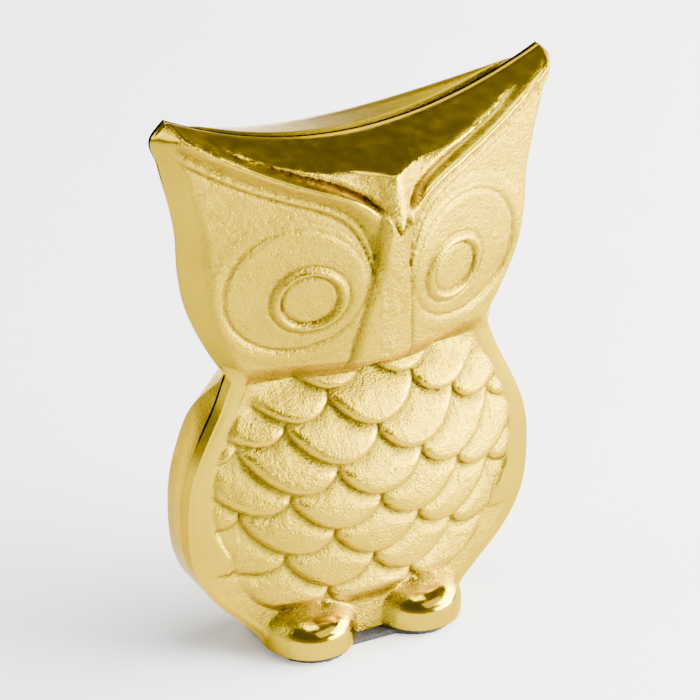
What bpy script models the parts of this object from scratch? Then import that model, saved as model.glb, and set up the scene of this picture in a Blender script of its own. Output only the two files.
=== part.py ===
"""Owl figurine: a hollow cast-metal owl in two halves, closed by two screws, on a felt pad.

The front casting carries the face, wings, scales and feet, the back casting is plain. They meet
on the upright plane y = 0. The figure faces -Y, +Z is up, and it stands on z = 0 with the
parting plane's foot at the origin. Lengths below are in millimetres; MM turns them into metres.
"""
from math import pi

import bmesh
import bpy
import numpy as np

MM = 0.001

# Overall figure
BASE_Z = 1.5          # underside of the castings
NECK_Z = 62.6         # notch between head and body
EAR_Z = 119.0         # ear tips
CROWN_DIP = 9.9       # how far the crown sags below the ear tips
CROWN_SPAN = 40.0     # half distance between the ear tips
CREST_ROW = 118.0     # grid row that runs along the front edge of the head's top
CREST_SAG = 12.4      # how far that row hangs below its ends
SEAM_GAP = 0.15       # each casting stands this far off the parting plane
WALL = 3.2            # casting thickness
SOFTEN = 0.75         # the front relief's steps are evened out over this distance

# Outline on the parting plane: (height, half width), base to neck and neck to ear
BODY_OUTLINE = ((1.5, 21.6), (5, 23.6), (8, 26.4), (14, 32.0), (18, 34.8), (22, 36.6), (32, 38.0),
                (42, 37.0), (50, 33.8), (56, 30.8), (62.6, 28.2))
HEAD_OUTLINE = ((62.6, 28.2), (66, 30.4), (72, 33.6), (79, 36.4), (87, 37.8), (95, 38.2),
                (102, 39.5), (110, 41.4), (116.3, 42.6), (119, 40.0))

# Face
FACE_DEPTH = 16.9     # face planes' depth at the nose line
FACE_TURN = 0.307     # how fast each face plane falls away sideways
FACE_LEAN = 0.19      # how fast the lower face recedes going down
BROW_RISE = 2.5       # how far the brow crest stands in front of the face plane
BROW_LEDGE = 1.9      # height of the ledge between the V groove and the crest
LIP_WIDTH = 1.4       # the grainy lip above each brow
EYE_X, EYE_Z, EYE_R = 18.2, 82.6, 13.0
EYE_SINK = -0.2
EYE_TILT = -0.032     # the disc stands prouder towards the nose and brow
EYE_SLOPE = 2.2       # width of the wall round the eye
PUPIL_X, PUPIL_Z, PUPIL_R = 15.7, 80.7, 6.2
PUPIL_RISE = 0.85
NOSE_HALF = 3.8       # half width of the nose bridge at the eyes
JAW_Z, JAW_CHAMFER = 64.6, 4.0
NECK_DEPTH = 2.6      # least depth of the body under the jaw

# Chest
CHEST_PROFILE = ((1.5, 6.6), (8, 6.4), (13, 6.7), (22, 8.6), (30, 10.4), (37, 11.3),
                 (44, 10.7), (50, 9.3), (56, 7.2), (60, 4.8), (62.6, 3.4))
CHEST_ROUND = 0.0088
SCALE_PITCH_X = 18.6
SCALE_PITCH_Z = 7.25
SCALE_TOP_Z = 50.1    # lowest point of the top row's middle scale
SCALE_ROWS = 7
SCALE_RISE = 3.2
SCALE_STEP = 1.5      # height over which a scale's lower edge rises

# Wings
WING_INNER = ((18, 28.0), (22, 29.2), (24.7, 29.6), (28, 31.2), (33, 33.0), (40, 33.0),
              (44.4, 32.3), (50, 30.2), (58, 26.2), (62.6, 24.0))
WING_EDGE = 0.9       # depth at the outline
WING_SLOPE, WING_SAG = 0.80, 0.036
WING_FOOT_Z = 20.6

# Back
BACK_LIP = 12.0       # the upright wall behind the parting line at the flanks

# Feet
FOOT_X, FOOT_Z = 11.5, 3.9
FOOT_HALF_X, FOOT_HALF_Z = 9.9, 5.4
FOOT_ROOT, FOOT_DEPTH = 3.0, 14.5
FOOT_FILLET = 3.2
ARCH_RADIUS = 3.6

# Grids: columns and bands of rows (from height, to height, rows)
FRONT_COLUMNS, BACK_COLUMNS, CORE_COLUMNS = 54, 34, 16
FRONT_BANDS = ((1.5, 9, 8), (9, 60.5, 36), (60.5, 66.5, 7), (66.5, 92, 15), (92, 108, 14),
               (108, 118, 14), (118, 119, 6))
BACK_BANDS = ((1.5, 9, 5), (9, 60, 16), (60, 66, 5), (66, 112, 14), (112, 118, 4),
              (118, 119, 4))
CORE_BANDS = ((0, 58, 10), (58, 68, 4), (68, 103, 9))

# Inner room: (height, half width)
CORE_OUTLINE = ((0, 15.5), (6, 18), (12, 24), (22, 31), (34, 33), (44, 31.5), (54, 25.5),
                (63, 22.5), (72, 28), (84, 31), (92, 29.5), (98, 24), (103, 17))

# Fasteners
SCREW_HEIGHTS = {"upper_screw": 86.0, "lower_screw": 31.0}
SHANK_R, SHANK_HOLE_R = 2.0, 2.35
HEAD_R, HEAD_HOLE_R, HEAD_LENGTH = 3.8, 4.2, 2.6
HEAD_SEAT_Y = 12.6    # where the screw head's underside bears
SCREW_TIP_Y = -8.0
HOLE_END_Y = -9.0
FRONT_BOSS_R, BACK_BOSS_R = 4.6, 6.6
DOWEL_X, DOWEL_Z, DOWEL_R, DOWEL_HOLE_R = 27.0, 101.0, 1.5, 1.85
DOWEL_HALF, DOWEL_HOLE_HALF = 4.4, 5.0

# Felt pad
PAD_THICKNESS = 1.2
PAD_INSET = 1.8
PAD_BRIDGE = 8.8      # reach of the pad's front edge between the feet

GOLD = (0.76, 0.57, 0.18, 1)
STEEL = (0.42, 0.42, 0.43, 1)
FELT = (0.07, 0.07, 0.075, 1)


# ---------------------------------------------------------------- helpers
def smoothstep(t):
    t = np.clip(t, 0, 1)
    return t * t * (3 - 2 * t)


def smooth_min(a, b, blend):
    h = np.clip(0.5 + 0.5 * (b - a) / blend, 0, 1)
    return b * (1 - h) + a * h - blend * h * (1 - h)


def smooth_max(a, b, blend):
    return -smooth_min(-a, -b, blend)


def bump(distance, half_width):
    """A rounded ridge: 1 on the line, 0 beyond half_width."""
    t = np.clip(1 - (distance / half_width) ** 2, 0, 1)
    return t * t


def through(points, z):
    """Smooth curve through (height, value) points, by cubic Hermite pieces."""
    heights, values = np.array(points, float).T
    slopes = np.gradient(values, heights)
    i = np.clip(np.searchsorted(heights, z, side="right") - 1, 0, len(heights) - 2)
    span = heights[i + 1] - heights[i]
    t = np.clip((z - heights[i]) / span, 0, 1)
    a = (2 * t ** 3 - 3 * t ** 2 + 1) * values[i] + (t ** 3 - 2 * t ** 2 + t) * span * slopes[i]
    b = (3 * t ** 2 - 2 * t ** 3) * values[i + 1] + (t ** 3 - t ** 2) * span * slopes[i + 1]
    return a + b


# ---------------------------------------------------------------- outline
def half_width(z):
    return np.where(z < NECK_Z, through(BODY_OUTLINE, z), through(HEAD_OUTLINE, z))


def crown_height(x):
    return EAR_Z - CROWN_DIP * (1 - (x / CROWN_SPAN) ** 2)


# ---------------------------------------------------------------- front casting
def brow_line(x):
    """Height of the sharp V groove between the forehead and the brows."""
    return 104.4 + 0.0095 * x ** 2 - 10.0 * np.exp(-np.abs(x) / 5.0)


def socket_line(x):
    """Height of the crease under each brow."""
    return 97.9 + 0.0086 * x ** 2 - 11.0 * np.exp(-(np.abs(x) - 4.5) / 3.2)


def eye_relief(x, z):
    """Sunk eye disc inside a sloping wall, with a raised pupil ring."""
    side = np.abs(x)
    r = np.hypot(side - EYE_X, z - EYE_Z)
    sink = EYE_SINK + EYE_TILT * 0.7 * (EYE_X - side + z - EYE_Z)
    disc = sink * (smoothstep((r - EYE_R + 0.2) / EYE_SLOPE) - 1)
    pupil = np.hypot(side - PUPIL_X, z - PUPIL_Z)
    return disc + PUPIL_RISE * bump(pupil - PUPIL_R, 1.9)


def face_plane(x, z):
    """Two flat face planes that meet at the nose line; the lower face recedes."""
    side = np.sqrt(x ** 2 + 16.0)
    lower = smooth_max(EYE_Z - z, 0 * z, 6.0)
    return FACE_DEPTH - FACE_TURN * side - FACE_LEAN * lower


def brow_relief(x, z):
    """The brows rise out of the V groove to a crest and fall back to the socket crease."""
    top, low = brow_line(x), socket_line(x)
    below = top - z
    share = np.clip((below - BROW_LEDGE) / np.maximum(top - low - BROW_LEDGE, 1.0), 0, 1)
    flank = 1 - 0.95 * smoothstep(share / 0.8)
    crest = BROW_RISE * smoothstep(below / BROW_LEDGE) * flank
    return crest * smoothstep((np.abs(x) - 1.0) / 3.5)


def nose_relief(x, z):
    """Broad nose bridge, highest between the brows, that widens down to the beak."""
    foot = NOSE_HALF + 0.15 * smooth_max(86.0 - z, 0 * z, 4.0)
    edge = 1 - smoothstep((np.abs(x) - foot + 2.6) / 2.8)
    rise = 0.9 + 0.17 * smooth_max(z - 79.0, 0 * z, 4.0)
    return rise * edge * (0.75 + 0.25 * smoothstep((brow_line(x) - z) / 1.4))


def forehead_depth(x, z):
    """The wedge that comes to a point between the brows, and its lips along them."""
    above = z - brow_line(x)
    wedge = 17.0 + 0.27 * (105.6 - z) - 3.0 * (1 - np.exp(-(x / 3.2) ** 2))
    lip = face_plane(x, z) + 0.2 - 0.35 * above - 1.5 * np.maximum(above - LIP_WIDTH, 0)
    share = smoothstep((np.abs(x) - 4) / 8)
    groove = 0.6 * (1 - smoothstep(above / 0.7))
    return wedge * (1 - share) + lip * share - groove


def face_depth(x, z):
    depth = face_plane(x, z) + brow_relief(x, z) + nose_relief(x, z)
    depth = depth + eye_relief(x, z) * (1 - smoothstep((z - socket_line(x) + 1) / 1.5))
    depth = np.where(z > brow_line(x), forehead_depth(x, z), depth)
    return depth - 0.6 * (1 - smoothstep((z - JAW_Z) / 1.6)) ** 2


def head_front(x, z):
    inside = half_width(z) - np.abs(x)
    side = 0.9 + 1.6 * inside
    top = 0.9 + (crown_height(x) - z) * (3.4 + 1.2 * np.exp(-(x / 6) ** 2))
    walls = smooth_min(side, top, 1.5)
    return smooth_min(walls, face_depth(x, z), 0.9)


def scale_relief(x, z):
    """Overlapping rounded scales: each rises to its lower edge and steps down to the next row."""
    best = np.zeros_like(x)
    covered = np.zeros_like(x, dtype=bool)
    for row in range(-1, SCALE_ROWS):
        shift = 0.0 if row % 2 == 0 else 0.5
        column = np.round(x / SCALE_PITCH_X - shift) + shift
        centre = column * SCALE_PITCH_X
        low = SCALE_TOP_Z - SCALE_PITCH_Z * row + 0.0085 * centre ** 2
        across = (x - centre) / (0.5 * SCALE_PITCH_X)
        edge = low + 1.12 * SCALE_PITCH_Z * (1 - np.sqrt(np.clip(1 - 0.92 * across ** 2, 0, 1)))
        up = z - edge
        inside = (up > -SCALE_STEP) & ~covered
        rise = SCALE_RISE * smoothstep((up + SCALE_STEP) / SCALE_STEP)
        rise = rise * (1 - 0.85 * np.clip(up / 13, 0, 1))
        rise = rise * (1 - 0.4 * across ** 2)
        best = np.where(inside, np.maximum(best, rise), best)
        covered = covered | (up > 0)
    return best


def on_wing(x, z):
    """1 on the wings, 0 on the chest."""
    edge = smoothstep((np.abs(x) - through(WING_INNER, z) + 0.9) / 1.8)
    return edge * smoothstep((z - WING_FOOT_Z + 1) / 2)


def wing_depth(x, z):
    """The wing slopes up from the outline and rounds over towards its inner edge."""
    inside = np.maximum(half_width(z) - np.abs(x), 0)
    return WING_EDGE + WING_SLOPE * inside - WING_SAG * inside ** 2


def chest_depth(x, z):
    depth = through(CHEST_PROFILE, z) - CHEST_ROUND * x ** 2
    depth = depth + scale_relief(x, z) * smoothstep((z - 5.0) / 5)
    wing_share = on_wing(x, z)
    return depth * (1 - wing_share) + wing_depth(x, z) * wing_share


def foot_depth(x, z):
    reach = 1 - ((np.abs(x) - FOOT_X) / FOOT_HALF_X) ** 2 - ((z - FOOT_Z) / FOOT_HALF_Z) ** 2
    return FOOT_ROOT + (FOOT_DEPTH - FOOT_ROOT) * np.maximum(reach, 0) ** 0.6


def body_lip(z, full):
    """Height of the back's upright wall: full at the flanks, low at the neck."""
    return 0.9 + (full - 0.9) * smoothstep((NECK_Z - z) / 14)


def body_front(x, z):
    wall = 0.7 + 1.5 * (half_width(z) - np.abs(x))
    chest = smooth_max(chest_depth(x, z), 0 * z + NECK_DEPTH, 1.0)
    depth = smooth_min(wall, chest, 1.0)
    depth = smooth_max(depth, foot_depth(x, z), FOOT_FILLET)
    return np.maximum(depth, 0.9)


def front_depth(x, z):
    """Depth of the front casting: a chamfer under the jaw leads from the head to the body."""
    jaw = JAW_Z + 0.0012 * x ** 2
    on_head = np.clip((z - jaw + JAW_CHAMFER) / JAW_CHAMFER, 0, 1)
    head = head_front(x, np.maximum(z, jaw))
    body = body_front(x, np.minimum(z, JAW_Z - JAW_CHAMFER + 0.5))
    return body * (1 - on_head) + head * on_head


def softened(relief):
    """The relief's mean over a small square, so that narrow steps come out even on the grid."""
    def mean(x, z):
        shifts = [(dx, dz) for dx in (-SOFTEN, 0, SOFTEN) for dz in (-SOFTEN, 0, SOFTEN)]
        return sum(relief(x + dx, z + dz) for dx, dz in shifts) / len(shifts)
    return mean


# ---------------------------------------------------------------- back casting
def back_depth(x, z):
    """Depth of the back casting behind the parting plane."""
    inside = half_width(z) - np.abs(x)
    skull = 19.2 - 0.0095 * x ** 2 - 0.0068 * (z - 86) ** 2
    top = 0.9 + 4.2 * (crown_height(x) - z)
    head = smooth_min(smooth_min(0.9 + 1.25 * inside, top, 2.0), skull, 5.0)
    rump = 18.6 - 0.0085 * x ** 2 - 0.0052 * (z - 34) ** 2
    body = smooth_min(body_lip(z, BACK_LIP) + 1.9 * inside, rump, 5.0)
    on_head = smoothstep((z - 62.0) / 2.2)
    return np.maximum(body * (1 - on_head) + head * on_head, 0.9)


# ---------------------------------------------------------------- inner room
def core_half_width(z):
    return through(CORE_OUTLINE, z)


def room_depth(x, z, plate):
    taper = 1.0 + 1.5 * (core_half_width(z) - np.abs(x))
    roof = 1.0 + 1.6 * (103.0 - z)
    return np.maximum(smooth_min(smooth_min(taper, roof, 3.0), plate, 3.0), 1.0)


def front_room(x, z):
    face = face_plane(x, z) - 0.6 - WALL
    chest = through(CHEST_PROFILE, z) - CHEST_ROUND * x ** 2 - WALL
    on_head = smoothstep((z - 64.5) / 5)
    return room_depth(x, z, np.maximum(chest * (1 - on_head) + face * on_head, 1.0))


def back_room(x, z):
    skull = 19.2 - 0.0095 * x ** 2 - 0.0068 * (z - 86) ** 2
    rump = 18.6 - 0.0085 * x ** 2 - 0.0052 * (z - 34) ** 2
    on_head = smoothstep((z - 62.0) / 2.2)
    plate = rump * (1 - on_head) + skull * on_head - WALL - 0.5
    return room_depth(x, z, plate)


# ---------------------------------------------------------------- Blender objects
def collection(name):
    made = bpy.data.collections.new(name)
    bpy.context.scene.collection.children.link(made)
    return made


def material(name, colour, roughness, metallic):
    made = bpy.data.materials.new(name)
    made.use_nodes = True
    shader = made.node_tree.nodes["Principled BSDF"]
    shader.inputs["Base Color"].default_value = colour
    shader.inputs["Roughness"].default_value = roughness
    shader.inputs["Metallic"].default_value = metallic
    return made


def add_object(name, mesh, home, finish=None):
    made = bpy.data.objects.new(name, mesh)
    home.objects.link(made)
    if finish is not None:
        mesh.materials.append(finish)
    return made


def row_heights(bands):
    rows = [bands[0][0]]
    for start, end, count in bands:
        rows.extend(start + (end - start) * (i + 1) / count for i in range(count))
    return np.array(rows)


def grid_mesh(name, columns, bands, place, side):
    """A grid shaped by place(), closed to the parting plane. side is -1 in front, 1 behind."""
    heights = row_heights(bands)
    rows = len(heights) - 1
    bm = bmesh.new()
    bmesh.ops.create_grid(bm, x_segments=columns, y_segments=rows, size=1.0)
    across = np.array([v.co.x for v in bm.verts])
    level = np.array([v.co.y for v in bm.verts])
    index = np.clip(np.rint((level + 1) / 2 * rows).astype(int), 0, rows)
    x, depth, z = place(1.35 * across - 0.35 * across ** 3, heights[index])
    for vert, vx, vy, vz in zip(bm.verts, x, depth, z):
        vert.co = (vx * MM, side * vy * MM, vz * MM)
    rim = [e for e in bm.edges if e.is_boundary]
    skirt = bmesh.ops.extrude_edge_only(bm, edges=rim)["geom"]
    for item in skirt:
        if isinstance(item, bmesh.types.BMVert):
            item.co.y = side * SEAM_GAP * MM
    bmesh.ops.contextual_create(bm, geom=[e for e in bm.edges if e.is_boundary])
    bmesh.ops.recalc_face_normals(bm, faces=bm.faces)
    mesh = bpy.data.meshes.new(name)
    bm.to_mesh(mesh)
    bm.free()
    return mesh


def row_sag(row):
    """How far the middle of a row hangs below its ends."""
    sag = CREST_SAG * np.clip((row - 70) / (CREST_ROW - 70), 0, 1) ** 1.5
    above = np.clip((row - CREST_ROW) / (EAR_Z - CREST_ROW), 0, 1)
    return sag - (CREST_SAG - CROWN_DIP) * above


def figure_place(depth):
    """Rows bend with the crown near the top, and end on the side outline."""
    def place(s, row):
        x = s * half_width(row)
        z = row - row_sag(row) * (1 - s ** 2)
        return x, depth(x, z), z
    return place


def room_place(depth):
    def place(s, row):
        x = s * core_half_width(row)
        return x, depth(x, row), row
    return place


def cylinder_y(name, x, z, radius, y_start, y_end, home, segments=24):
    bpy.ops.mesh.primitive_cylinder_add(
        vertices=segments, radius=radius * MM, depth=abs(y_end - y_start) * MM,
        location=(x * MM, (y_start + y_end) / 2 * MM, z * MM), rotation=(pi / 2, 0, 0))
    made = bpy.context.object
    made.name = name
    for owner in list(made.users_collection):
        owner.objects.unlink(made)
    home.objects.link(made)
    return made


def as_cutter(made):
    made.hide_render = True
    made.display_type = "WIRE"
    return made


def boolean(target, tool, operation):
    cut = target.modifiers.new(operation.lower(), "BOOLEAN")
    cut.operation = operation
    cut.object = tool
    cut.solver = "EXACT"


def hollow(shell, depth, side, cutters):
    """Cuts the inner room out of a casting. The room opens on the parting plane and below."""
    name = shell.name + "_room"
    mesh = grid_mesh(name, CORE_COLUMNS, CORE_BANDS, room_place(depth), side)
    for vert in mesh.vertices:
        if abs(vert.co.y) < 0.5 * MM:
            vert.co.y = -side * MM
    boolean(shell, as_cutter(add_object(name, mesh, cutters)), "DIFFERENCE")


def drill(shell, name, x, z, radius, y_start, y_end, cutters):
    tool = as_cutter(cylinder_y(name, x, z, radius, y_start, y_end, cutters))
    boolean(shell, tool, "DIFFERENCE")


def raise_boss(shell, name, z, radius, y_start, y_end, cutters):
    tool = as_cutter(cylinder_y(name, 0, z, radius, y_start, y_end, cutters))
    boolean(shell, tool, "UNION")


def cut_arch(shell, cutters):
    """The gap between the feet, open below."""
    drill(shell, "arch_cutter", 0, BASE_Z - 0.4, ARCH_RADIUS, -16, -4, cutters)


def front_shell(parts, cutters, finish):
    mesh = grid_mesh("front_shell", FRONT_COLUMNS, FRONT_BANDS, figure_place(softened(front_depth)), -1)
    shell = add_object("front_shell", mesh, parts, finish)
    hollow(shell, front_room, -1, cutters)
    for name, z in SCREW_HEIGHTS.items():
        wall = float(front_room(np.array([0.0]), np.array([z]))[0])
        raise_boss(shell, name + "_front_boss", z, FRONT_BOSS_R, -SEAM_GAP, -wall - 1.5, cutters)
        drill(shell, name + "_front_hole", 0, z, SHANK_HOLE_R, 1, HOLE_END_Y, cutters)
    for x in (-DOWEL_X, DOWEL_X):
        drill(shell, "front_dowel_hole", x, DOWEL_Z, DOWEL_HOLE_R, 1, -DOWEL_HOLE_HALF, cutters)
    cut_arch(shell, cutters)
    return shell


def back_shell(parts, cutters, finish):
    mesh = grid_mesh("back_shell", BACK_COLUMNS, BACK_BANDS, figure_place(back_depth), 1)
    shell = add_object("back_shell", mesh, parts, finish)
    hollow(shell, back_room, 1, cutters)
    for name, z in SCREW_HEIGHTS.items():
        wall = float(back_room(np.array([0.0]), np.array([z]))[0])
        raise_boss(shell, name + "_back_boss", z, BACK_BOSS_R, SEAM_GAP, wall + 1.5, cutters)
        drill(shell, name + "_back_hole", 0, z, SHANK_HOLE_R, -1, 25, cutters)
        drill(shell, name + "_head_hole", 0, z, HEAD_HOLE_R, HEAD_SEAT_Y - 0.3, 25, cutters)
    for x in (-DOWEL_X, DOWEL_X):
        drill(shell, "back_dowel_hole", x, DOWEL_Z, DOWEL_HOLE_R, -1, DOWEL_HOLE_HALF, cutters)
    return shell


def screw(name, z, parts, cutters, finish):
    """Slotted cheese-head screw, driven from behind."""
    made = cylinder_y(name, 0, z, SHANK_R, SCREW_TIP_Y, HEAD_SEAT_Y + 0.5, parts)
    made.data.materials.append(finish)
    head = cylinder_y(name + "_head", 0, z, HEAD_R, HEAD_SEAT_Y, HEAD_SEAT_Y + HEAD_LENGTH, cutters)
    boolean(made, as_cutter(head), "UNION")
    bpy.ops.mesh.primitive_cube_add(
        size=1, location=(0, (HEAD_SEAT_Y + HEAD_LENGTH) * MM, z * MM))
    slot = bpy.context.object
    slot.name = name + "_slot"
    slot.scale = (9 * MM, 2 * MM, 1.1 * MM)
    for owner in list(slot.users_collection):
        owner.objects.unlink(slot)
    cutters.objects.link(slot)
    boolean(made, as_cutter(slot), "DIFFERENCE")
    return made


def pad_outline(count=72):
    """Outline of the pad: the castings' footprint, drawn in by the inset."""
    half = float(half_width(np.array([BASE_Z]))[0]) - PAD_INSET
    base = np.array([BASE_Z + 0.6])
    points = []
    for i in range(count):
        turn = 2 * pi * i / count
        x = half * np.cos(turn)
        edge = np.array([0.985 * x])
        if np.sin(turn) < 0:
            bridge = PAD_BRIDGE * smoothstep((FOOT_X - abs(x)) / 4)
            reach = max(float(front_depth(edge, base)[0]) - PAD_INSET, bridge)
            y = -reach * min(1.0, -np.sin(turn) * 3)
        else:
            reach = float(back_depth(edge, base)[0]) - PAD_INSET
            y = reach * min(1.0, np.sin(turn) * 3)
        points.append((x, y))
    return points


def base_pad(parts, finish):
    curve = bpy.data.curves.new("base_pad_outline", "CURVE")
    curve.dimensions = "2D"
    curve.fill_mode = "BOTH"
    curve.extrude = PAD_THICKNESS / 2 * MM
    outline = pad_outline()
    spline = curve.splines.new("POLY")
    spline.points.add(len(outline) - 1)
    for point, (x, y) in zip(spline.points, outline):
        point.co = (x * MM, y * MM, 0, 1)
    spline.use_cyclic_u = True
    drawn = bpy.data.objects.new("base_pad_outline", curve)
    parts.objects.link(drawn)
    bpy.context.view_layer.update()
    mesh = bpy.data.meshes.new_from_object(drawn.evaluated_get(bpy.context.evaluated_depsgraph_get()))
    bpy.data.objects.remove(drawn)
    bm = bmesh.new()
    bm.from_mesh(mesh)
    bmesh.ops.remove_doubles(bm, verts=bm.verts, dist=1e-6)
    bmesh.ops.recalc_face_normals(bm, faces=bm.faces)
    bm.to_mesh(mesh)
    bm.free()
    made = add_object("base_pad", mesh, parts, finish)
    made.location.z = PAD_THICKNESS / 2 * MM
    return made


def dowel(name, x, parts, finish):
    made = cylinder_y(name, x, DOWEL_Z, DOWEL_R, -DOWEL_HALF, DOWEL_HALF, parts, segments=20)
    made.data.materials.append(finish)
    return made


def main():
    for old in list(bpy.data.objects):
        bpy.data.objects.remove(old, do_unlink=True)
    parts = collection("owl_figurine")
    cutters = collection("cutters")
    gold = material("gold_plate", GOLD, 0.22, 1.0)
    steel = material("screw_steel", STEEL, 0.35, 1.0)
    felt = material("grey_felt", FELT, 0.95, 0.0)
    front_shell(parts, cutters, gold)
    back_shell(parts, cutters, gold)
    base_pad(parts, felt)
    for name, z in SCREW_HEIGHTS.items():
        screw(name, z, parts, cutters, steel)
    dowel("left_dowel", -DOWEL_X, parts, steel)
    dowel("right_dowel", DOWEL_X, parts, steel)


main()
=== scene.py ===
"""Gold-plated cast owl figurine on a felt pad: detailed castings and materials on the CAD frame.

Lengths are in millimetres until a mesh is made; MM turns them into metres. The figure faces -Y.
"""
from math import cos, pi, radians, sin

import bmesh
import bpy
import numpy as np
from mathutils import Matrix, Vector


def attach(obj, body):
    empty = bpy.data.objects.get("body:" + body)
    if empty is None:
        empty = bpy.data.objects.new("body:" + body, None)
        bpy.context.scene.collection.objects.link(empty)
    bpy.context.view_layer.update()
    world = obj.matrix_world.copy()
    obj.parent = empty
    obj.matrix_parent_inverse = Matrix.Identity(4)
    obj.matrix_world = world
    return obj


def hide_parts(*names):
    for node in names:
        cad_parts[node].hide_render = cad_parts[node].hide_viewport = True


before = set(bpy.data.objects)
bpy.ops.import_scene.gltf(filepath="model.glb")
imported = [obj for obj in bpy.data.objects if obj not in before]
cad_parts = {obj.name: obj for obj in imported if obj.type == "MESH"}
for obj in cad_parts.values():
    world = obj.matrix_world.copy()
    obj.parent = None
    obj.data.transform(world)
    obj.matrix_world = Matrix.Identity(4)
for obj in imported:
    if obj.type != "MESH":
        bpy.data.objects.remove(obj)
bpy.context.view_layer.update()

MM = 0.001

# Overall figure
BASE_Z = 1.5
NECK_Z = 62.6
EAR_Z = 119.0
CROWN_DIP = 9.9
CROWN_SPAN = 40.0
CREST_ROW = 118.0
CREST_SAG = 12.4
SEAM_GAP = 0.36
EDGE_DEPTH = 0.4      # the head's edges stand this far off the parting plane
SEAM_ROLL = 0.5       # how far the crown's edges roll down into the joint

BODY_OUTLINE = ((BASE_Z, 21.6), (5, 23.6), (8, 26.4), (14, 32.0), (18, 34.8), (22, 36.6), (32, 38.0),
                (42, 37.0), (50, 33.8), (56, 30.8), (62.6, 28.2))
HEAD_OUTLINE = ((62.6, 28.2), (66, 30.4), (72, 33.6), (79, 36.4), (87, 37.8), (95, 38.2),
                (102, 39.5), (110, 41.4), (116.3, 42.6), (119, 40.0))

# Face
FACE_DEPTH = 16.9
FACE_TURN = 0.307
FACE_LEAN = 0.19
BROW_Z, BROW_CURVE = 104.4, 0.0095
BROW_DROP, BROW_DROP_WIDTH = 10.0, 5.0      # the V of the brows at the nose
SOCKET_Z, SOCKET_CURVE = 97.9, 0.0086
SOCKET_DROP, SOCKET_DROP_WIDTH, SOCKET_INNER_X = 11.0, 3.2, 4.5
BROW_RISE = 2.5       # how far the brow crest stands in front of the face plane
BROW_LEDGE = 1.9      # height of the ledge between furrow and crest
FURROW_SINK = 0.7
LIP_WIDTH = 1.4       # the grainy lip above each brow
EYE_X, EYE_Z, EYE_R = 18.2, 82.6, 13.0
EYE_SINK = -0.3       # below zero: the disc stands just in front of the face
EYE_TILT = -0.045     # the disc stands prouder towards the nose and brow
EYE_SLOPE = 2.2       # width over which the disc falls back to the face
EYE_CREASE, EYE_CREASE_WIDTH = 0.42, 0.75
PUPIL_X, PUPIL_Z = 15.7, 80.7
PUPIL_INNER, PUPIL_CREST, PUPIL_OUTER = 5.2, 6.2, 7.5
PUPIL_RISE = 0.85
PUPIL_CREASE = 0.36
NOSE_HALF = 3.8       # half width of the nose bridge at the eyes
JAW_Z, JAW_CHAMFER = 64.6, 4.0
JAW_ROLL, JAW_ROLL_HEIGHT = 0.6, 1.6
WEDGE_DEPTH, WEDGE_Z, WEDGE_LEAN = 17.0, 105.6, 0.27
WEDGE_KEEL, WEDGE_KEEL_WIDTH = 3.0, 3.2     # the wedge's ridge down the middle
NECK_DEPTH = 2.6      # least depth of the body under the jaw

# Chest
CHEST_PROFILE = ((BASE_Z, 6.6), (8, 6.4), (13, 6.7), (22, 8.6), (30, 10.4), (37, 11.3),
                 (44, 10.7), (50, 9.3), (56, 7.2), (60, 4.8), (62.6, 3.4))
CHEST_ROUND = 0.0088
CHEST_FOOT_Z = 8.0    # the scales fade out from here down
SCALE_PITCH_X = 18.6
SCALE_PITCH_Z = 7.25
SCALE_TOP_Z = 50.1
SCALE_BOW = 0.0085    # how fast a row of scales climbs sideways
SCALE_ROWS = 7
SCALE_RISE = 3.2
SCALE_STEP = 1.9      # how far the rounded lip reaches up a scale
GUTTER_WIDTH, GUTTER_DEPTH = 2.8, 0.9

# Wings
WING_INNER = ((18, 28.0), (22, 29.2), (24.7, 29.6), (28, 31.2), (33, 33.0), (40, 33.0),
              (44.4, 32.3), (50, 30.2), (58, 26.2), (62.6, 24.0))
WING_EDGE = 0.9       # depth at the outline
WING_SLOPE, WING_SAG = 0.80, 0.036
WING_FOOT_Z = 20.6

# Back
BACK_LIP = 12.0       # the upright wall behind the parting line at the flanks
NECK_LIP = 0.9        # the same wall at the neck
SKULL_DEPTH, SKULL_Z = 19.2, 86.0
RUMP_DEPTH, RUMP_Z = 18.6, 34.0
BACK_NECK_Z, BACK_NECK_HEIGHT = 62.0, 2.2

# Feet
FOOT_X, FOOT_Z = 12.2, 3.5
FOOT_HALF_X, FOOT_HALF_Z = 9.6, 6.6
FOOT_ROOT, FOOT_DEPTH = 3.0, 13.2
FOOT_FILLET = 3.0

# Grids
FRONT_COLUMNS, BACK_COLUMNS = 250, 150
FRONT_BANDS = ((BASE_Z, 9, 30), (9, 60.5, 146), (60.5, 66.5, 28), (66.5, 108, 112),
               (108, 118, 36), (118, 119, 14))
BACK_BANDS = ((BASE_Z, 9, 14), (9, 60, 70), (60, 66, 16), (66, 112, 70), (112, 118, 16),
              (118, 119, 12))

# Fasteners, as in the CAD frame
SCREW_HEIGHTS = {"upper_screw": 86.0, "lower_screw": 31.0}
HEAD_R, HEAD_HOLE_R, HEAD_LENGTH = 3.8, 4.2, 2.6
HEAD_SEAT_Y = 12.6
SHANK_R = 2.0
SCREW_TIP_Y = -8.0
THREAD_PITCH, THREAD_DEPTH = 0.7, 0.38
SLOT_WIDTH, SLOT_DEPTH = 1.1, 1.0

# Surface
GRAIN = ((0.03, 2.6), (0.06, 1.1), (0.075, 0.75))     # (height, wavelength)
BACK_GRAIN = 0.15
BACK_POLISH, BACK_ROUGH = 0.8, 0.3
FELT_CELL = 0.32

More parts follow.
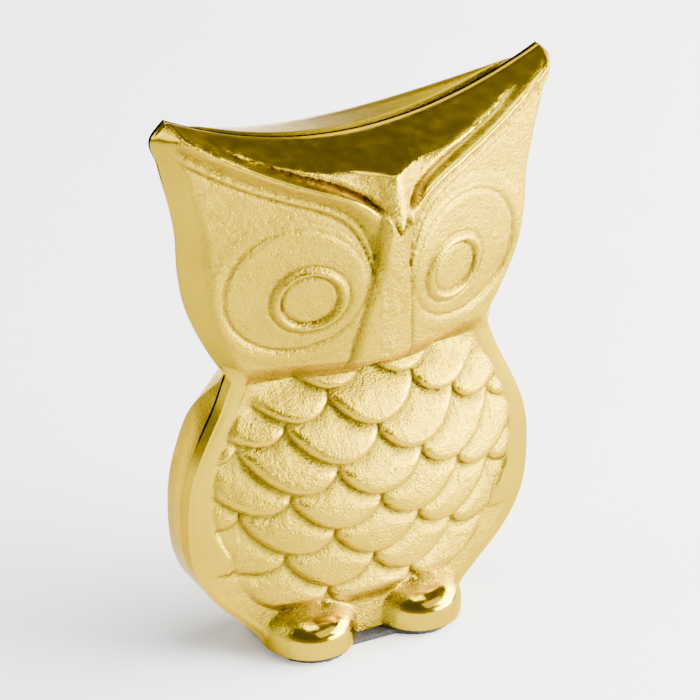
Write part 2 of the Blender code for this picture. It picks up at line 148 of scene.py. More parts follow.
# Colours, linear RGBA
GOLD_BRIGHT = (0.41, 0.278, 0.003, 1)
GOLD_DEEP = (0.36, 0.244, 0.002, 1)
# painted reflection: a less orange gold for recesses and foot roots, standing in for how reflections
# look there
GOLD_RECESS_REFLECTION = (0.36, 0.275, 0.003, 1)
GOLD_EDGE_TINT = (1.0, 0.82, 0.38, 1)
PIT_BROWN = (0.13, 0.085, 0.002, 1)
# painted shade: dark olive for the creases and for the band under the jaw
PAINTED_SHADE_OLIVE = (0.13, 0.10, 0.002, 1)
FELT_DARK = (0.010, 0.010, 0.011, 1)
FELT_LIGHT = (0.055, 0.053, 0.05, 1)
STEEL_DARK = (0.34, 0.34, 0.35, 1)
STEEL_LIGHT = (0.55, 0.55, 0.56, 1)
FLOOR_DARK = (0.88, 0.88, 0.88, 1)
FLOOR_LIGHT = (0.91, 0.91, 0.905, 1)

# Studio, in metres, watts and degrees
WORLD_LEVEL = 0.65
WORLD_STOPS = ((0.12, 0.95), (0.40, 0.38), (0.66, 0.36), (0.84, 0.40), (0.95, 0.6))
FLOOR_SIZE = 8
LIGHTS = (
    # name, place, aim, size, power
    ("right_box", (0.82, -0.30, 0.42), (0, 0, 0.06), (1.15, 0.56), 95),
    ("left_box", (-0.85, 0.25, 0.55), (0, 0, 0.06), (0.5, 0.5), 7),
    ("low_box", (0.67, -0.67, 0.18), (0, 0, 0.06), (0.75, 0.24), 26),
    ("high_box", (0.42, -0.78, 0.85), (0, 0, 0.06), (0.9, 0.6), 5),
    ("back_box", (0.1, 0.9, 0.5), (0, 0, 0.06), (0.9, 0.3), 4),
    ("top_box", (0.0, -0.15, 1.1), (0, -0.05, 0.0), (0.45, 0.45), 9),
)
CAMERA_TURN, CAMERA_RISE, CAMERA_DISTANCE = 28.2, 27.0, 0.7884
CAMERA_TARGET = (-0.00083, 0, 0.06146)
CAMERA_SENSOR, CAMERA_LENS = 36.0, 207.7


# ---------------------------------------------------------------- shaping helpers
def smoothstep(t):
    t = np.clip(t, 0, 1)
    return t * t * (3 - 2 * t)


def smooth_min(a, b, blend):
    """The lower of two surfaces, with the corner between them rounded over."""
    h = np.clip(0.5 + 0.5 * (b - a) / blend, 0, 1)
    return b * (1 - h) + a * h - blend * h * (1 - h)


def smooth_max(a, b, blend):
    return -smooth_min(-a, -b, blend)


def bump(distance, half_width):
    """A rounded ridge: 1 on the line, 0 from half_width outwards."""
    t = np.clip(1 - (distance / half_width) ** 2, 0, 1)
    return t * t


def through(points, z):
    """Smooth curve through (height, value) points, read at the heights z."""
    heights, values = np.array(points, float).T
    slopes = np.gradient(values, heights)
    i = np.clip(np.searchsorted(heights, z, side="right") - 1, 0, len(heights) - 2)
    span = heights[i + 1] - heights[i]
    t = np.clip((z - heights[i]) / span, 0, 1)
    a = (2 * t ** 3 - 3 * t ** 2 + 1) * values[i] + (t ** 3 - 2 * t ** 2 + t) * span * slopes[i]
    b = (3 * t ** 2 - 2 * t ** 3) * values[i + 1] + (t ** 3 - t ** 2) * span * slopes[i + 1]
    return a + b


def lattice_noise(x, z, wavelength, seed):
    """Smooth noise of about unit size, the same on every run."""
    cells = np.random.default_rng(seed).standard_normal((256, 256))
    u, v = x / wavelength + 64.0, z / wavelength + 64.0
    i, j = np.floor(u).astype(int), np.floor(v).astype(int)
    s, t = smoothstep(u - i), smoothstep(v - j)
    i, j = i % 255, j % 255
    low = cells[i, j] * (1 - s) + cells[i + 1, j] * s
    high = cells[i, j + 1] * (1 - s) + cells[i + 1, j + 1] * s
    return low * (1 - t) + high * t


def blurred(field, reach):
    """Mean over a square of 2 * reach + 1 points."""
    size = 2 * reach + 1
    for axis in (0, 1):
        padded = np.concatenate([np.repeat(field.take([0], axis), reach + 1, axis), field,
                                 np.repeat(field.take([-1], axis), reach, axis)], axis)
        total = np.cumsum(padded, axis)
        count = field.shape[axis]
        field = (total.take(np.arange(size, size + count), axis)
                 - total.take(np.arange(count), axis)) / size
    return field


# ---------------------------------------------------------------- outline
def half_width(z):
    return np.where(z < NECK_Z, through(BODY_OUTLINE, z), through(HEAD_OUTLINE, z))


def crown_height(x):
    """The crown sags between the ears."""
    return EAR_Z - CROWN_DIP * (1 - (x / CROWN_SPAN) ** 2)


# ---------------------------------------------------------------- face
def brow_line(x):
    """Top of the brows, with the V at the nose."""
    drop = BROW_DROP * np.exp(-np.abs(x) / BROW_DROP_WIDTH)
    return BROW_Z + BROW_CURVE * x ** 2 - drop


def socket_line(x):
    """Foot of the brows, above the eye."""
    drop = SOCKET_DROP * np.exp(-(np.abs(x) - SOCKET_INNER_X) / SOCKET_DROP_WIDTH)
    return SOCKET_Z + SOCKET_CURVE * x ** 2 - drop


def eye_relief(x, z):
    """Flat disc standing just off the face inside a crease, with a raised pupil ring."""
    side = np.abs(x)
    r = np.hypot(side - EYE_X, z - EYE_Z)
    towards = 0.7 * (EYE_X - side) + 0.7 * (z - EYE_Z)
    sink = EYE_SINK + EYE_TILT * towards
    disc = sink * (smoothstep((r - EYE_R + 0.2) / EYE_SLOPE) - 1)
    crease = -EYE_CREASE * bump(r - EYE_R - 0.2, EYE_CREASE_WIDTH)
    lip = 0.2 * bump(r - EYE_R - EYE_SLOPE, 1.8)
    pupil = np.hypot(side - PUPIL_X, z - PUPIL_Z)
    inner = smoothstep((pupil - PUPIL_INNER) / (PUPIL_CREST - PUPIL_INNER))
    outer = 1 - smoothstep((pupil - PUPIL_CREST) / (PUPIL_OUTER - PUPIL_CREST))
    edges = bump(pupil - PUPIL_INNER, 0.6) + 0.7 * bump(pupil - PUPIL_OUTER, 0.6)
    return disc + crease + lip + PUPIL_RISE * np.minimum(inner, outer) - PUPIL_CREASE * edges


def face_plane(x, z):
    """The face turns back from a soft keel and leans back below the eyes."""
    side = np.sqrt(x ** 2 + 16.0)
    lower = smooth_max(EYE_Z - z, 0.0, 6.0)
    return FACE_DEPTH - FACE_TURN * side - FACE_LEAN * lower


def brow_relief(x, z):
    """Ledge out of the furrow to a crest, a falling flank, and a small second ridge."""
    top, low = brow_line(x), socket_line(x)
    below = top - z
    share = np.clip((below - BROW_LEDGE) / np.maximum(top - low - BROW_LEDGE, 1.0), 0, 1)
    flank = 1 - 0.95 * smoothstep(share / 0.66)
    crest = BROW_RISE * smoothstep(below / BROW_LEDGE) * flank
    second = 0.6 * bump(share - 0.80, 0.18)
    crease = -0.35 * bump(z - low, 0.8)
    furrow = -FURROW_SINK * bump(below, BROW_LEDGE)
    return (crest + second + crease + furrow) * smoothstep((np.abs(x) - 1.0) / 3.5)


def nose_relief(x, z):
    """The bridge between the eyes: wider towards the jaw, higher towards the brows."""
    foot = NOSE_HALF + 0.15 * smooth_max(86.0 - z, 0.0, 4.0)
    edge = 1 - smoothstep((np.abs(x) - foot + 1.9) / 1.9)
    rise = 0.9 + 0.17 * smooth_max(z - 79.0, 0.0, 4.0)
    crease = 0.4 * bump(np.abs(x) - foot, 0.7) * smoothstep((91 - z) / 2)
    return (rise * edge - crease) * (0.75 + 0.25 * smoothstep((brow_line(x) - z) / 1.4))


def forehead_depth(x, z):
    """The grainy wedge that comes to a point between the brows, and its lips along them."""
    above = z - brow_line(x)
    keel = WEDGE_KEEL * (1 - np.exp(-(x / WEDGE_KEEL_WIDTH) ** 2))
    wedge = WEDGE_DEPTH + WEDGE_LEAN * (WEDGE_Z - z) - keel
    lip = face_plane(x, z) + 0.2 - 0.35 * above - 1.5 * np.maximum(above - LIP_WIDTH, 0)
    share = smoothstep((np.abs(x) - 4) / 8)
    groove = 0.35 * (1 - smoothstep(above / 1.2))
    return wedge * (1 - share) + lip * share - groove


def face_depth(x, z):
    depth = face_plane(x, z) + brow_relief(x, z) + nose_relief(x, z)
    depth = depth + eye_relief(x, z) * (1 - smoothstep((z - socket_line(x) + 1) / 1.5))
    depth = np.where(z > brow_line(x), forehead_depth(x, z), depth)
    return depth - JAW_ROLL * (1 - smoothstep((z - JAW_Z) / JAW_ROLL_HEIGHT)) ** 2


def head_front(x, z):
    """The face, cut off by the walls that come in from the flanks and the crown."""
    inside = half_width(z) - np.abs(x)
    side = EDGE_DEPTH + 1.7 * inside
    top = EDGE_DEPTH + (crown_height(x) - z) * (3.4 + 1.2 * np.exp(-(x / 6) ** 2))
    walls = smooth_min(side, top, 1.5)
    return smooth_min(walls, face_depth(x, z), 1.5)


# ---------------------------------------------------------------- chest, wings and feet
def scale_relief(x, z):
    """Overlapping pillow-shaped scales, with a gutter where each dips under the row above."""
    best = np.zeros_like(x)
    gutter = np.zeros_like(x)
    covered = np.zeros_like(x, dtype=bool)
    for row in range(-1, SCALE_ROWS):
        shift = 0.0 if row % 2 == 0 else 0.5
        column = np.round(x / SCALE_PITCH_X - shift) + shift
        centre = column * SCALE_PITCH_X
        low = SCALE_TOP_Z - SCALE_PITCH_Z * row + SCALE_BOW * x ** 2
        across = (x - centre) / (0.5 * SCALE_PITCH_X)
        root = np.sqrt(np.clip(1 - 0.92 * across ** 2, 0.02, 1))
        edge = low + 1.12 * SCALE_PITCH_Z * (1 - root)
        slope = 1.12 * SCALE_PITCH_Z * 0.92 * across / root / (0.5 * SCALE_PITCH_X)
        slope = slope + 2 * SCALE_BOW * x
        up = (z - edge) / np.sqrt(1 + slope ** 2)
        inside = (up > 0) & ~covered
        lip = np.sqrt(1 - (1 - np.clip(up / SCALE_STEP, 0, 1)) ** 2)
        rise = SCALE_RISE * (0.25 + 0.75 * lip) * (1 - 0.75 * smoothstep((z - edge) / 12.5))
        rise = rise * (1 - 0.45 * across ** 2)
        best = np.where(inside, rise, best)
        near = 1 - smoothstep(-up / GUTTER_WIDTH)
        gutter = np.where(covered | (up > 0), gutter, np.maximum(gutter, near))
        covered = covered | (up > 0)
    return best - GUTTER_DEPTH * gutter * covered


def on_wing(x, z):
    """1 on the wings, 0 on the chest between them."""
    edge = smoothstep((np.abs(x) - through(WING_INNER, z) + 0.9) / 1.8)
    return edge * smoothstep((z - WING_FOOT_Z + 1) / 2)


def wing_depth(x, z):
    """The wing slopes up from the outline and rounds over towards its inner edge."""
    inside = np.maximum(half_width(z) - np.abs(x), 0)
    return WING_EDGE + WING_SLOPE * inside - WING_SAG * inside ** 2


def chest_depth(x, z):
    """Scaled chest between the wings, with a groove along each wing's inner edge."""
    depth = through(CHEST_PROFILE, z) - CHEST_ROUND * x ** 2
    wing_share = on_wing(x, z)
    depth = depth + scale_relief(x, z) * smoothstep((z - CHEST_FOOT_Z) / 5)
    groove = 0.5 * bump(np.abs(x) - through(WING_INNER, z), 1.1) * smoothstep((z - 19) / 3)
    return depth * (1 - wing_share) + wing_depth(x, z) * wing_share - groove


def foot_depth(x, z):
    """A toe block: blunt and upright in front, rounded over at the top and at the sides."""
    across = np.abs((np.abs(x) - FOOT_X) / FOOT_HALF_X) ** 2.3
    reach = 1 - across - np.abs((z - FOOT_Z) / FOOT_HALF_Z) ** 2.8
    return FOOT_ROOT + (FOOT_DEPTH - FOOT_ROOT) * np.maximum(reach, 0) ** 0.58


def back_lip(z):
    """Height of the back's upright wall: full at the flanks, low at the neck."""
    return NECK_LIP + (BACK_LIP - NECK_LIP) * smoothstep((NECK_Z - z) / 14)


def body_front(x, z):
    inside = half_width(z) - np.abs(x)
    wall = 0.7 + 1.5 * inside
    chest = smooth_max(chest_depth(x, z), NECK_DEPTH, 1.0)
    depth = smooth_min(wall, chest, 1.0)
    depth = smooth_max(depth, foot_depth(x, z), FOOT_FILLET)
    return np.maximum(depth, WING_EDGE)


def front_depth(x, z):
    """How far the front casting stands in front of the parting plane."""
    jaw = JAW_Z + 0.0012 * x ** 2
    on_head = np.clip((z - jaw + JAW_CHAMFER) / JAW_CHAMFER, 0, 1)
    head = head_front(x, np.maximum(z, jaw))
    body = body_front(x, np.minimum(z, JAW_Z - JAW_CHAMFER + 0.5))
    return body * (1 - on_head) + head * on_head


def back_depth(x, z):
    """How far the back casting stands behind the parting plane."""
    inside = half_width(z) - np.abs(x)
    skull = SKULL_DEPTH - 0.0095 * x ** 2 - 0.0068 * (z - SKULL_Z) ** 2
    top = EDGE_DEPTH + 4.2 * (crown_height(x) - z)
    head = smooth_min(smooth_min(EDGE_DEPTH + 1.35 * inside, top, 2.0), skull, 5.0)
    rump = RUMP_DEPTH - 0.0085 * x ** 2 - 0.0052 * (z - RUMP_Z) ** 2
    body = smooth_min(back_lip(z) + 1.9 * inside, rump, 5.0)
    on_head = smoothstep((z - BACK_NECK_Z) / BACK_NECK_HEIGHT)
    return np.maximum(body * (1 - on_head) + head * on_head, EDGE_DEPTH)


# ---------------------------------------------------------------- surface state
def polish_front(x, z):
    """1 where the casting was ground and polished, 0 where the cast grain is left."""
    inside = half_width(z) - np.abs(x)
    flank = 1 - smoothstep((inside - 2.2) / 1.6)
    drop = crown_height(x) - z
    crest = 1.0 + 2.5 * (1 - (x / CROWN_SPAN) ** 2)
    top = 1 - smoothstep((drop - crest + 0.3) / 0.7)
    furrow = bump(brow_line(x) - z - 0.8, 2.0) * smoothstep((np.abs(x) - 3) / 4)
    on_head = smoothstep((z - 63) / 2)
    wing = 0.75 * on_wing(x, z) * (1 - on_head)
    foot = smoothstep((10.5 - z) / 2) * smoothstep((foot_depth(x, z) - 8.5) / 2.5)
    return np.clip(np.maximum.reduce([flank, top * on_head, furrow * on_head, wing, foot]), 0, 1)


def cast_grain(x, z, seed):
    """The skin that the mould leaves on a casting."""
    return sum(height * lattice_noise(x, z, wavelength, seed + i)
               for i, (height, wavelength) in enumerate(GRAIN))


def rough_front(x, z, depth):
    """How coarse the cast grain is: fine on flats, coarse on slopes and on the brows."""
    slope = np.hypot(np.gradient(depth, axis=0), np.gradient(depth, axis=1)) / 0.34
    low = smoothstep((z - 11) / 4)
    brow = smoothstep((z - socket_line(x) + 2) / 3) * smoothstep((brow_line(x) + 9 - z) / 3)
    return np.clip(0.22 + low * (0.8 * np.clip(slope - 0.15, 0, 1) + 0.8 * brow), 0, 1.3)


# ---------------------------------------------------------------- meshes
def row_heights(bands):
    """Heights of the grid's rows, from bands of (start, end, rows)."""
    rows = [bands[0][0]]
    for start, end, count in bands:
        rows.extend(start + (end - start) * (i + 1) / count for i in range(count))
    return np.array(rows)


def row_sag(row):
    """How far a row dips in the middle: more and more up to the crown."""
    sag = CREST_SAG * np.clip((row - 70) / (CREST_ROW - 70), 0, 1) ** 1.5
    above = np.clip((row - CREST_ROW) / (EAR_Z - CREST_ROW), 0, 1)
    return sag - (CREST_SAG - CROWN_DIP) * above


def figure_grid(columns, bands):
    """Grid points (x, z), rows upwards: rows bend with the crown and end on the outline."""
    share = np.linspace(-1, 1, columns + 1)
    s, row = np.meshgrid(1.35 * share - 0.35 * share ** 3, row_heights(bands))
    return s * half_width(row), row - row_sag(row) * (1 - s ** 2)


def seam_gap(x, z):
    """Half the joint's width: open over the crown and under the neck, ground flush elsewhere."""
    crown = smoothstep((z - 104) / 5)
    neck = smoothstep((z - 47) / 5) * smoothstep((64 - z) / 2)
    return SEAM_GAP * np.clip(0.12 + crown + neck, 0, 1)


def casting(name, x, depth, z, side, facts):
    """Closed casting between the relief grid and the parting plane."""
    rows, columns = x.shape
    count = rows * columns
    index = np.arange(count).reshape(rows, columns)
    rim = np.concatenate([index[0], index[1:, -1], index[-1, -2::-1], index[-2:0:-1, 0]])
    flat_x, flat_z = x.ravel(), z.ravel()
    roll = SEAM_ROLL * (1 - smoothstep((depth.ravel() - 0.5) / 1.6)) ** 2
    rolled_z = flat_z - roll * smoothstep((flat_z - 100) / 4)
    grid = np.stack([flat_x, side * depth.ravel(), rolled_z], 1)
    skirt = np.stack([flat_x[rim], side * seam_gap(flat_x[rim], flat_z[rim]), rolled_z[rim]], 1)
    quads = np.stack([index[:-1, :-1], index[:-1, 1:], index[1:, 1:], index[1:, :-1]], -1)
    quads = quads.reshape(-1, 4)
    around = np.arange(len(rim))
    after = (around + 1) % len(rim)
    walls = np.stack([rim, count + around, count + after, rim[after]], 1)
    faces = np.concatenate([quads, walls])
    cap = (count + around)[::-1]
    if side > 0:
        faces, cap = faces[:, ::-1], cap[::-1]
    mesh = bpy.data.meshes.new(name)
    mesh.from_pydata((np.concatenate([grid, skirt]) * MM).tolist(), [],
                     faces.tolist() + [cap.tolist()])
    mesh.update()
    mesh.polygons.foreach_set("use_smooth", [True] * len(mesh.polygons))
    mesh.set_sharp_from_angle(angle=radians(65))
    for label, values in facts.items():
        layer = mesh.attributes.new(label, "FLOAT", "POINT")
        whole = np.concatenate([values.ravel(), values.ravel()[rim]])
        layer.data.foreach_set("value", whole.astype(np.float32))
    made = bpy.data.objects.new(name, mesh)
    bpy.context.scene.collection.objects.link(made)
    return made


def surface_facts(depth, polish, reach):
    """Buffed crests, and painted shade in the creases, from how far the relief stands off its local
    mean.
    """
    stand = depth - blurred(depth, reach)
    return {"polish": np.clip(polish + np.clip(stand * 2.2 - 0.15, 0, 0.55), 0, 1),
            "painted_crease_shade": np.clip(-stand * 3.0 - 0.35, 0, 1)}


def front_cast():
    """Front casting with its surface facts: polish, painted crease shade, painted recess reflection
    tint and rough.
    """
    x, z = figure_grid(FRONT_COLUMNS, FRONT_BANDS)
    depth = front_depth(x, z)
    polish = polish_front(x, z)
    facts = surface_facts(depth, polish, 4)
    # painted reflection tint in the recesses, kept off the polished parts
    facts["hollow"] = np.clip((blurred(depth, 12) - depth) * 0.7 - 0.15, 0, 1) * (1 - polish)
    # painted shade in the creases, only between the feet and the brows
    facts["painted_crease_shade"] = facts["painted_crease_shade"] * smoothstep((z - 9.5) / 3) * (z < brow_line(x) + 0.5)
    # painted shadow: a dark band under the jaw, where the head shades the chest
    chin_shadow = 0.8 * bump(z - JAW_Z + 1.7, 1.8) * (1 - polish)
    facts["painted_crease_shade"] = np.maximum(facts["painted_crease_shade"], chin_shadow)
    # painted reflection tint at the roots of the feet
    foot_root_reflection = smoothstep((12.5 - z) / 3) * smoothstep((foot_depth(x, z) - 3.2) / 1.5)
    facts["hollow"] = np.maximum(facts["hollow"], foot_root_reflection * (1 - polish))
    rough = rough_front(x, z, depth)
    facts["rough"] = np.clip(rough, 0, 1)
    depth = depth + cast_grain(x, z, 11) * (1 - 0.93 * facts["polish"]) * rough
    depth = np.maximum(depth, EDGE_DEPTH)
    return casting("front_cast", x, depth, z, -1, facts)


def back_cast():
    """Plain back casting with the two screw pockets cut in."""
    x, z = figure_grid(BACK_COLUMNS, BACK_BANDS)
    depth = back_depth(x, z)
    polish = np.full_like(x, BACK_POLISH)
    facts = surface_facts(depth, polish, 3)
    facts["rough"] = np.full_like(x, BACK_ROUGH)
    facts["hollow"] = np.zeros_like(x)
    depth = depth + cast_grain(x, z, 31) * BACK_GRAIN
    made = casting("back_cast", x, depth, z, 1, facts)
    for name, height in SCREW_HEIGHTS.items():
        tool = cylinder_y(name + "_pocket", height, HEAD_HOLE_R, HEAD_SEAT_Y - 0.3, 30)
        cut = made.modifiers.new(name, "BOOLEAN")
        cut.object, cut.operation, cut.solver = tool, "DIFFERENCE", "EXACT"
        bpy.context.view_layer.objects.active = made
        bpy.ops.object.modifier_apply(modifier=name)
        bpy.data.objects.remove(tool)
    return made


def cylinder_y(name, z, radius, y_start, y_end):
    bpy.ops.mesh.primitive_cylinder_add(
        vertices=64, radius=radius * MM, depth=(y_end - y_start) * MM,
        location=(0, (y_start + y_end) / 2 * MM, z * MM), rotation=(pi / 2, 0, 0))
    made = bpy.context.object
    made.name = name
    return made


# ---------------------------------------------------------------- materials
class Nodes:
    """Short calls to build one material's node tree."""

    def __init__(self, name):
        self.material = bpy.data.materials.new(name)
        self.material.use_nodes = True
        self.tree = self.material.node_tree
        self.shader = self.tree.nodes["Principled BSDF"]

    def add(self, kind, **settings):
        made = self.tree.nodes.new(kind)
        for key, value in settings.items():
            setattr(made, key, value)
        return made

    def link(self, source, target):
        self.tree.links.new(source, target)

    def value(self, operation, a, b):
        made = self.add("ShaderNodeMath", operation=operation)
        for socket, item in zip(made.inputs, (a, b)):
            if isinstance(item, (int, float)):
                socket.default_value = item
            else:
                self.link(item, socket)
        return made.outputs[0]

    def fact(self, name):
        return self.add("ShaderNodeAttribute", attribute_name=name).outputs["Fac"]

    def place(self, scale=(1, 1, 1)):
        coordinates = self.add("ShaderNodeTexCoord").outputs["Object"]
        mapping = self.add("ShaderNodeMapping")
        mapping.inputs["Scale"].default_value = scale
        self.link(coordinates, mapping.inputs["Vector"])
        return mapping.outputs[0]

    def noise(self, vector, scale, detail=2.0, roughness=0.5):
        made = self.add("ShaderNodeTexNoise")
        made.inputs["Scale"].default_value = scale
        made.inputs["Detail"].default_value = detail
        made.inputs["Roughness"].default_value = roughness
        self.link(vector, made.inputs["Vector"])
        return made.outputs["Fac"]

    def cells(self, vector, scale):
        made = self.add("ShaderNodeTexVoronoi")
        made.inputs["Scale"].default_value = scale
        self.link(vector, made.inputs["Vector"])
        return made.outputs["Distance"]

    def map(self, source, low, high, to_low, to_high):
        made = self.add("ShaderNodeMapRange")
        for socket, value in zip(made.inputs[1:5], (low, high, to_low, to_high)):
            socket.default_value = value
        self.link(source, made.inputs[0])
        return made.outputs[0]

    def mix_colour(self, share, a, b):
        made = self.add("ShaderNodeMix", data_type="RGBA")
        self.link(share, made.inputs["Factor"])
        for socket, item in zip((made.inputs[6], made.inputs[7]), (a, b)):
            if isinstance(item, tuple):
                socket.default_value = item
            else:
                self.link(item, socket)
        return made.outputs[2]

    def bump(self, height, distance, strength=1.0, normal=None):
        made = self.add("ShaderNodeBump")
        made.inputs["Distance"].default_value = distance
        made.inputs["Strength"].default_value = strength
        self.link(height, made.inputs["Height"])
        if normal is not None:
            self.link(normal, made.inputs["Normal"])
        return made.outputs[0]

    def feed(self, socket, source):
        if isinstance(source, (int, float, tuple)):
            self.shader.inputs[socket].default_value = source
        else:
            self.link(source, self.shader.inputs[socket])


def gold_material():
    """Gold plate: mirror-like where polished, finely pitted where the cast grain is left."""
    n = Nodes("gold_plate")
    where = n.place()
    polish, painted_crease_shade = n.fact("polish"), n.fact("painted_crease_shade")
    rough_share = n.value("SUBTRACT", 1.0, polish)
    tone = n.noise(where, 90, 3)
    colour = n.mix_colour(n.map(tone, 0.35, 0.65, 0, 1), GOLD_BRIGHT, GOLD_DEEP)
    # painted reflection: recesses and foot roots tinted a less orange gold
    colour = n.mix_colour(n.fact("hollow"), colour, GOLD_RECESS_REFLECTION)
    dots = n.map(n.cells(where, 1100), 0.10, 0.24, 0.55, 0.0)
    dots = n.value("MULTIPLY", dots, n.map(n.noise(where, 260, 2), 0.48, 0.62, 0.0, 1.0))
    colour = n.mix_colour(n.value("MULTIPLY", dots, rough_share), colour, PIT_BROWN)
    # painted shade: creases and the band under the jaw darkened towards olive
    colour = n.mix_colour(n.value("MULTIPLY", painted_crease_shade, 0.75), colour, PAINTED_SHADE_OLIVE)
    n.feed("Base Color", colour)
    n.feed("Metallic", 1.0)
    n.feed("Specular Tint", GOLD_EDGE_TINT)
    patches = n.map(n.noise(where, 420, 3), 0.3, 0.7, -0.05, 0.07)
    rough = n.value("ADD", n.map(rough_share, 0, 1, 0.10, 0.24), patches)
    rough = n.value("ADD", rough, n.map(n.fact("rough"), 0, 1, 0.0, 0.10))
    n.feed("Roughness", n.value("MAXIMUM", rough, 0.04))
    grain = n.noise(where, 2600, 3, 0.6)
    pits = n.map(n.cells(where, 1500), 0.0, 0.45, -1.0, 0.0)
    height = n.value("ADD", grain, n.value("MULTIPLY", pits, 0.45))
    height = n.value("MULTIPLY", height, n.map(rough_share, 0, 1, 0.05, 1.0))
    height = n.value("MULTIPLY", height, n.map(n.fact("rough"), 0, 1, 0.8, 2.0))
    buffing = n.noise(n.place((1, 1, 9)), 500, 2)
    first = n.bump(height, 0.00018)
    n.feed("Normal", n.bump(buffing, 0.00001, 0.6, first))
    return n.material


def felt_material():
    n = Nodes("grey_felt")
    where = n.place()
    fibres = n.noise(n.place((1, 1, 2.5)), 2200, 4, 0.7)
    n.feed("Base Color", n.mix_colour(n.map(fibres, 0.35, 0.7, 0, 1), FELT_DARK, FELT_LIGHT))
    n.feed("Roughness", 0.95)
    height = n.value("ADD", fibres, n.noise(where, 900, 2))
    n.feed("Normal", n.bump(height, 0.0002))
    return n.material


def steel_material():
    n = Nodes("screw_steel")
    where = n.place()
    n.feed("Base Color", n.mix_colour(n.noise(where, 600, 3), STEEL_DARK, STEEL_LIGHT))
    n.feed("Metallic", 1.0)
    n.feed("Roughness", n.map(n.noise(where, 1500, 3), 0.3, 0.7, 0.25, 0.45))
    n.feed("Normal", n.bump(n.noise(n.place((1, 12, 1)), 900, 2), 0.00003))
    return n.material


def floor_material():
    n = Nodes("pale_floor")
    speck = n.noise(n.place(), 40, 3)
    n.feed("Base Color", n.mix_colour(speck, FLOOR_DARK, FLOOR_LIGHT))
    n.feed("Roughness", 0.9)
    return n.material


# ---------------------------------------------------------------- small pieces
def lathe_y(name, profile, z, segments=72):
    """Solid of revolution about a line along Y through (0, z). profile is (radius, y) pairs."""
    verts, faces = [], []
    for radius, y in profile:
        for k in range(segments):
            turn = 2 * pi * k / segments
            verts.append((radius * cos(turn) * MM, y * MM, (z + radius * sin(turn)) * MM))
    for i in range(len(profile) - 1):
        for k in range(segments):
            a, b = i * segments + k, i * segments + (k + 1) % segments
            faces.append((a, b, b + segments, a + segments))
    faces.append(tuple(range(segments))[::-1])
    last = (len(profile) - 1) * segments
    faces.append(tuple(last + k for k in range(segments)))
    mesh = bpy.data.meshes.new(name)
    mesh.from_pydata(verts, [], faces)
    bm = bmesh.new()
    bm.from_mesh(mesh)
    bmesh.ops.recalc_face_normals(bm, faces=bm.faces)
    bm.to_mesh(mesh)
    bm.free()
    made = bpy.data.objects.new(name, mesh)
    bpy.context.scene.collection.objects.link(made)
    return made


def machine_screw(name, z):
    """Slotted cheese-head screw with a rounded head rim and a threaded shank."""
    profile = [(0.9, SCREW_TIP_Y), (1.5, SCREW_TIP_Y + 0.5)]
    y = SCREW_TIP_Y + THREAD_PITCH
    while y < HEAD_SEAT_Y - 3.0:
        profile += [(SHANK_R - THREAD_DEPTH, y), (SHANK_R, y + THREAD_PITCH / 2)]
        y += THREAD_PITCH
    top = HEAD_SEAT_Y + HEAD_LENGTH
    profile += [(SHANK_R - 0.1, y), (SHANK_R - 0.1, HEAD_SEAT_Y), (HEAD_R - 0.1, HEAD_SEAT_Y),
                (HEAD_R, HEAD_SEAT_Y + 0.15), (HEAD_R, top - 0.6), (HEAD_R - 0.12, top - 0.3),
                (HEAD_R - 0.45, top - 0.05), (HEAD_R - 0.8, top), (0.6, top)]
    made = lathe_y(name + "_detail", profile, z)
    bpy.ops.mesh.primitive_cube_add(size=1, location=(0, top * MM, z * MM))
    slot = bpy.context.object
    slot.scale = (9 * MM, 2 * SLOT_DEPTH * MM, SLOT_WIDTH * MM)
    cut = made.modifiers.new("slot", "BOOLEAN")
    cut.object, cut.operation, cut.solver = slot, "DIFFERENCE", "EXACT"
    bpy.context.view_layer.objects.active = made
    bpy.ops.object.modifier_apply(modifier="slot")
    bpy.data.objects.remove(slot)
    made.data.polygons.foreach_set("use_smooth", [True] * len(made.data.polygons))
    made.data.set_sharp_from_angle(angle=radians(35))
    return made


def felt_pad():
    """The CAD pad's outline, subdivided, with a soft cut edge roughened by small random steps."""
    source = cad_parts["base_pad"]
    mesh = source.data.copy()
    mesh.name = "felt_pad"
    made = bpy.data.objects.new("felt_pad", mesh)
    made.matrix_world = source.matrix_world
    bpy.context.scene.collection.objects.link(made)
    remesh = made.modifiers.new("even", "REMESH")
    remesh.mode, remesh.voxel_size = "VOXEL", FELT_CELL * MM
    bpy.context.view_layer.objects.active = made
    bpy.ops.object.modifier_apply(modifier="even")
    bm = bmesh.new()
    bm.from_mesh(made.data)
    bm.normal_update()
    rng = np.random.default_rng(5)
    steps = rng.uniform(-0.14, 0.02, len(bm.verts))
    bottom = min(v.co.z for v in bm.verts) + 0.05 * MM
    for vert, step in zip(bm.verts, steps):
        if vert.co.z > bottom:
            vert.co += vert.normal * float(step) * MM
    bm.to_mesh(made.data)
    bm.free()
    made.data.polygons.foreach_set("use_smooth", [True] * len(made.data.polygons))
    return made


# ---------------------------------------------------------------- stage
def add_light(name, place, aim, size, power):
    data = bpy.data.lights.new(name, "AREA")
    data.shape = "RECTANGLE"
    data.size, data.size_y = size
    data.energy = power
    made = bpy.data.objects.new(name, data)
    made.location = place
    made.rotation_mode = "QUATERNION"
    made.rotation_quaternion = (Vector(aim) - Vector(place)).to_track_quat("-Z", "Y")
    bpy.context.scene.collection.objects.link(made)


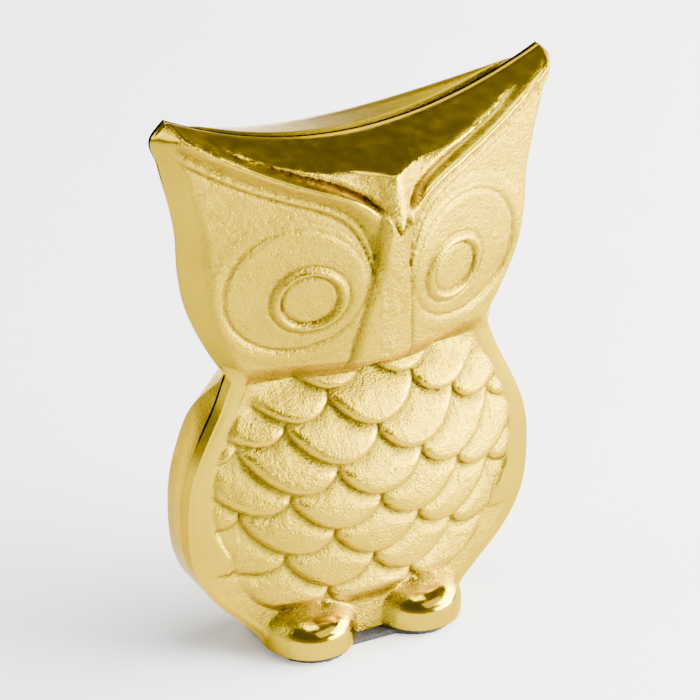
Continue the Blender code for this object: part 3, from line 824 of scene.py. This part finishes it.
def set_world():
    """Soft surround that is bright low down, dim half way up and brighter overhead."""
    world = bpy.data.worlds.new("studio")
    bpy.context.scene.world = world
    world.use_nodes = True
    tree = world.node_tree
    background = tree.nodes["Background"]
    coordinates = tree.nodes.new("ShaderNodeTexCoord")
    split = tree.nodes.new("ShaderNodeSeparateXYZ")
    ramp = tree.nodes.new("ShaderNodeValToRGB")
    tree.links.new(coordinates.outputs["Generated"], split.inputs[0])
    tree.links.new(split.outputs["Z"], ramp.inputs[0])
    tree.links.new(ramp.outputs[0], background.inputs["Color"])
    stops = ramp.color_ramp.elements
    stops[0].position, stops[0].color = 0.0, (1, 1, 1, 1)
    stops[1].position, stops[1].color = 1.0, (0.5, 0.5, 0.5, 1)
    for position, level in WORLD_STOPS:
        stop = stops.new(position)
        stop.color = (level, level, level, 1)
    background.inputs["Strength"].default_value = WORLD_LEVEL


def make_floor():
    bpy.ops.mesh.primitive_plane_add(size=FLOOR_SIZE, location=(0, 0, 0))
    floor = bpy.context.object
    floor.name = "floor"
    floor.data.materials.append(floor_material())


def make_camera():
    """The view from the figure's right front, 27 degrees above the floor."""
    data = bpy.data.cameras.new("camera")
    data.sensor_width, data.lens = CAMERA_SENSOR, CAMERA_LENS
    data.clip_end = 20
    made = bpy.data.objects.new("camera", data)
    bpy.context.scene.collection.objects.link(made)
    bpy.context.scene.camera = made
    turn, rise = radians(CAMERA_TURN), radians(CAMERA_RISE)
    back = Vector((-sin(turn) * cos(rise), -cos(turn) * cos(rise), sin(rise)))
    made.location = Vector(CAMERA_TARGET) + back * CAMERA_DISTANCE
    made.rotation_mode = "QUATERNION"
    made.rotation_quaternion = (-back).to_track_quat("-Z", "Y")


# ---------------------------------------------------------------- assembly
def dress(piece, material, slot, *nodes):
    piece.data.materials.clear()
    piece.data.materials.append(material)
    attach(piece, "root")
    if nodes:
        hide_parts(*nodes)


def main():
    gold, felt, steel = gold_material(), felt_material(), steel_material()
    dress(front_cast(), gold, "gold_plate", "front_shell")
    dress(back_cast(), gold, "gold_plate", "back_shell")
    dress(felt_pad(), felt, "grey_felt", "base_pad")
    for name, z in SCREW_HEIGHTS.items():
        dress(machine_screw(name, z), steel, "screw_steel", name)
    for name in ("left_dowel", "right_dowel"):
        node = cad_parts[name]
        node.data.materials.clear()
        node.data.materials.append(steel)
    make_camera()
    make_floor()
    set_world()
    for light in LIGHTS:
        add_light(*light)


main()
